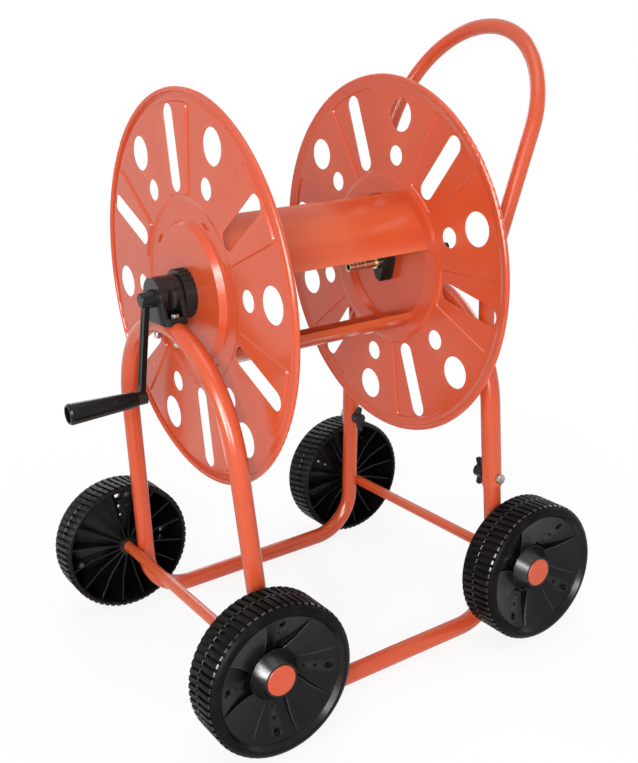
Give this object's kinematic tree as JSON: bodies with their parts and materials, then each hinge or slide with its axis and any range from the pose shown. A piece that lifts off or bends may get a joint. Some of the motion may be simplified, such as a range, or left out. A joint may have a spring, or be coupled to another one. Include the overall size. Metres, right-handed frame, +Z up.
{
  "type": "garden hose reel cart",
  "caption": "Wheeled garden cart with a bent-tube frame, push handle and a cranked drum between perforated pressed flanges, for winding and moving a garden hose.",
  "frame": {"origin": "on the floor under the middle of the cart's outer box", "axes": "+X from the crank to the push handle, +Y across the cart, +Z up; the drum turns about X"},
  "size_m": [0.7106, 0.523, 0.857],
  "materials": {
    "red_paint": "gloss powder coat",
    "wheel_plastic": "moulded satin",
    "cap_plastic": "gloss",
    "black_plastic": "moulded semi-gloss",
    "zinc_steel": "zinc plated",
    "nickel_brass": "nickel plated",
    "seal_rubber": "matte"
  },
  "bodies": {
    "cart_frame": {"lower_frame": "red_paint", "handle_arch": "red_paint", "push_handle": "red_paint", "crank_axle_tube": "red_paint", "handle_axle_tube": "red_paint", "crank_axle_rod": "zinc_steel", "handle_axle_rod": "zinc_steel", "axle_retainers": "zinc_steel", "clamp_bolts": "zinc_steel", "crank_bearing": "black_plastic", "inlet_bearing": "black_plastic", "bearing_bolts": "zinc_steel", "bearing_nuts": "zinc_steel", "inlet_connector": "black_plastic", "inlet_seal": "seal_rubber", "connector_screws": "zinc_steel"},
    "reel": {"crank_flange": "red_paint", "inlet_flange": "red_paint", "slat_1": "red_paint", "slat_2": "red_paint", "slat_3": "red_paint", "crank_collar": "black_plastic", "inlet_collar": "black_plastic", "crank_hub_nut": "black_plastic", "outlet_body": "black_plastic", "crank_spindle": "zinc_steel", "inlet_pipe": "zinc_steel", "hosetail": "nickel_brass", "crank_arm": "black_plastic", "crank_screw": "zinc_steel", "grip_pin": "zinc_steel"},
    "grip": {"crank_grip": "black_plastic"},
    "crank_near_wheel": {"wheel_crank_near": "wheel_plastic", "cap_crank_near": "cap_plastic"},
    "crank_far_wheel": {"wheel_crank_far": "wheel_plastic", "cap_crank_far": "cap_plastic"},
    "handle_near_wheel": {"wheel_handle_near": "wheel_plastic", "cap_handle_near": "cap_plastic"},
    "handle_far_wheel": {"wheel_handle_far": "wheel_plastic", "cap_handle_far": "cap_plastic"},
    "near_wing_nut": {"wing_nut_near": "black_plastic"},
    "far_wing_nut": {"wing_nut_far": "black_plastic"}
  },
  "joints": [
    {"name": "reel_spin", "type": "hinge", "parent": "cart_frame", "child": "reel", "pos_m": [-0.00642, 0, 0.529], "axis": [1, 0, 0], "continuous": true},
    {"name": "grip_spin", "type": "hinge", "parent": "reel", "child": "grip", "pos_m": [-0.30929, 0, 0.402], "axis": [1, 0, 0], "continuous": true},
    {"name": "crank_near_wheel_spin", "type": "hinge", "parent": "cart_frame", "child": "crank_near_wheel", "pos_m": [-0.21992, -0.2315, 0.1], "axis": [0, 1, 0], "continuous": true},
    {"name": "crank_far_wheel_spin", "type": "hinge", "parent": "cart_frame", "child": "crank_far_wheel", "pos_m": [-0.21992, 0.2315, 0.1], "axis": [0, 1, 0], "continuous": true},
    {"name": "handle_near_wheel_spin", "type": "hinge", "parent": "cart_frame", "child": "handle_near_wheel", "pos_m": [0.20708, -0.2315, 0.1], "axis": [0, 1, 0], "continuous": true},
    {"name": "handle_far_wheel_spin", "type": "hinge", "parent": "cart_frame", "child": "handle_far_wheel", "pos_m": [0.20708, 0.2315, 0.1], "axis": [0, 1, 0], "continuous": true},
    {"name": "near_wing_nut_turn", "type": "hinge", "parent": "cart_frame", "child": "near_wing_nut", "pos_m": [0.19179, -0.152, 0.227], "axis": [0, 1, 0], "range_deg": [0, 360]},
    {"name": "far_wing_nut_turn", "type": "hinge", "parent": "cart_frame", "child": "far_wing_nut", "pos_m": [0.19179, 0.152, 0.227], "axis": [0, 1, 0], "range_deg": [-360, 0]}
  ]
}
